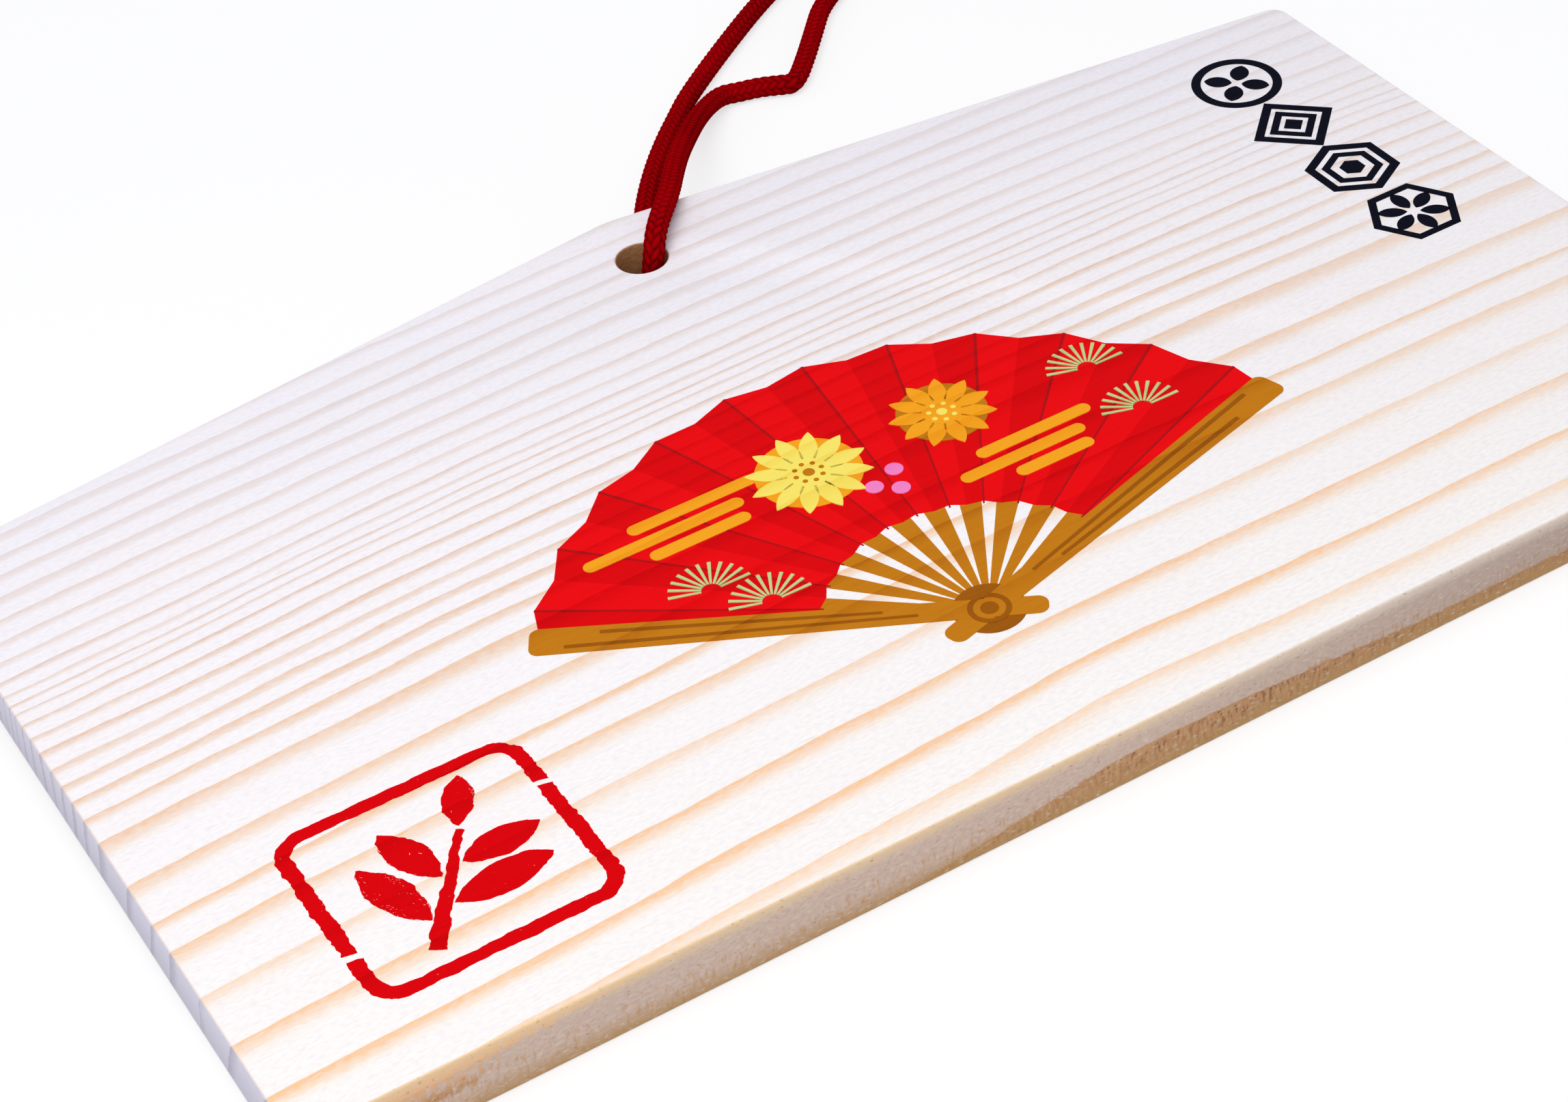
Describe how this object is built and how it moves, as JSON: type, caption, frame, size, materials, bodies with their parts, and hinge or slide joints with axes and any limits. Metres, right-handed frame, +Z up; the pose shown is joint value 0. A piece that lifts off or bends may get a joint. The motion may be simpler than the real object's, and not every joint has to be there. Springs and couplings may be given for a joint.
{
  "type": "votive plaque",
  "caption": "Flat softwood votive plaque with a shallow gabled top, a drilled hole under the apex and a knotted cord loop for hanging it.",
  "frame": {"origin": "centre of the board's footprint, on the surface that it lies on", "axes": "+X to the right across the board's width as its face is read, +Y towards the gabled top, +Z up out of the face; the board leans about 1.5 degrees on the cord behind it"},
  "size_m": [0.1641, 0.1355, 0.0112],
  "materials": {
    "wood": "planed and sanded pale softwood, bare apart from printed ink on the face",
    "cord": "soft braided cord, crimson, slight sheen"
  },
  "bodies": {
    "plaque": {"board": "wood", "cord_back_leg": "cord", "cord_front_leg": "cord"},
    "loop": {"loop_left_strand": "cord", "loop_right_strand": "cord", "knot": "cord", "left_tail": "cord", "right_tail": "cord"}
  },
  "joints": [
    {"name": "loop_lift", "type": "hinge", "parent": "plaque", "child": "loop", "pos_m": [0.02113, 0.06698, 0.0022], "axis": [0.7071, -0.7071, 0], "range_deg": [0, 120]}
  ]
}
